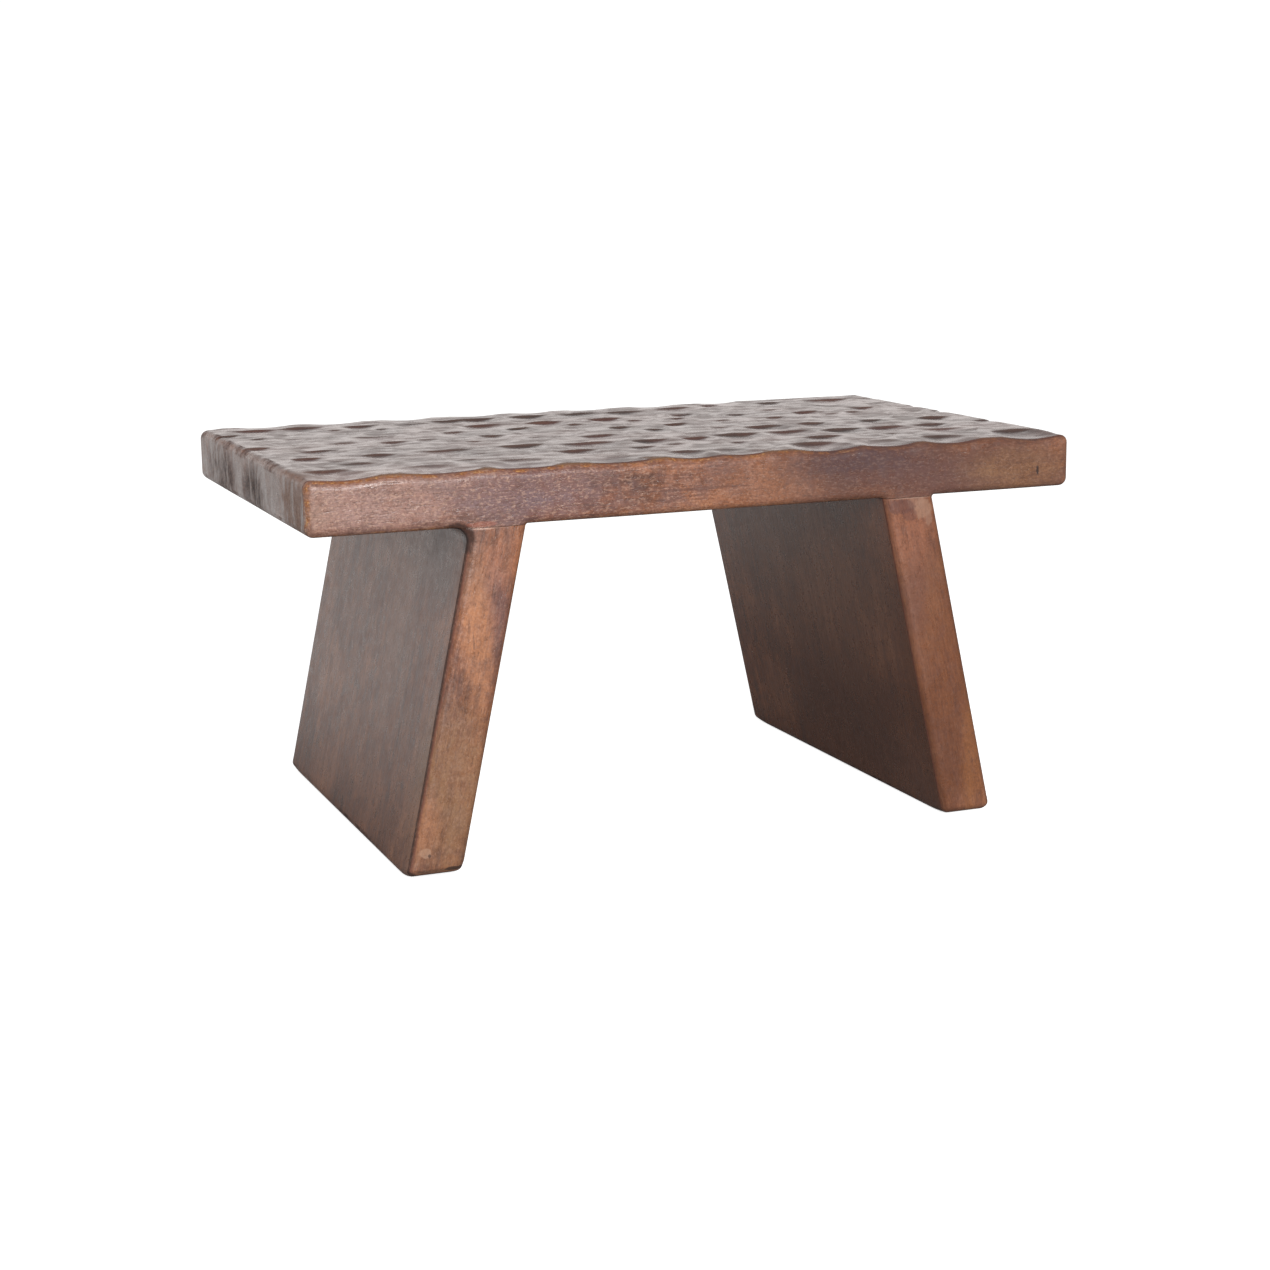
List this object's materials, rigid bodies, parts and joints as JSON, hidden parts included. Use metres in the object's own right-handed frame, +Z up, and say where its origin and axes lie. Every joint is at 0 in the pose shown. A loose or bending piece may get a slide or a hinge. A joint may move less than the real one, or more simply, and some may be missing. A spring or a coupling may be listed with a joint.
{
  "type": "low stool",
  "caption": "Low wooden stool with a thick plank seat, gouge-carved on top, on outward-splayed slab legs joined to it by hidden dowels.",
  "frame": {"origin": "on the floor, below the middle of the seat", "axes": "+X along the seat to the right as seen from the front, -Y is the front, +Z up"},
  "size_m": [0.5, 0.298, 0.244],
  "materials": {
    "seat_wood": "dark brown stain under a satin lacquer, rubbed to orange on the arrises",
    "leg_wood": "dark brown stain under a satin lacquer, grain upright",
    "dowel_wood": "bare beech"
  },
  "bodies": {
    "root": {"seat": "seat_wood", "left_leg": "leg_wood", "left_leg_dowel_1": "dowel_wood", "left_leg_dowel_2": "dowel_wood", "left_leg_dowel_3": "dowel_wood", "left_leg_dowel_4": "dowel_wood", "right_leg": "leg_wood", "right_leg_dowel_1": "dowel_wood", "right_leg_dowel_2": "dowel_wood", "right_leg_dowel_3": "dowel_wood", "right_leg_dowel_4": "dowel_wood"}
  },
  "joints": []
}
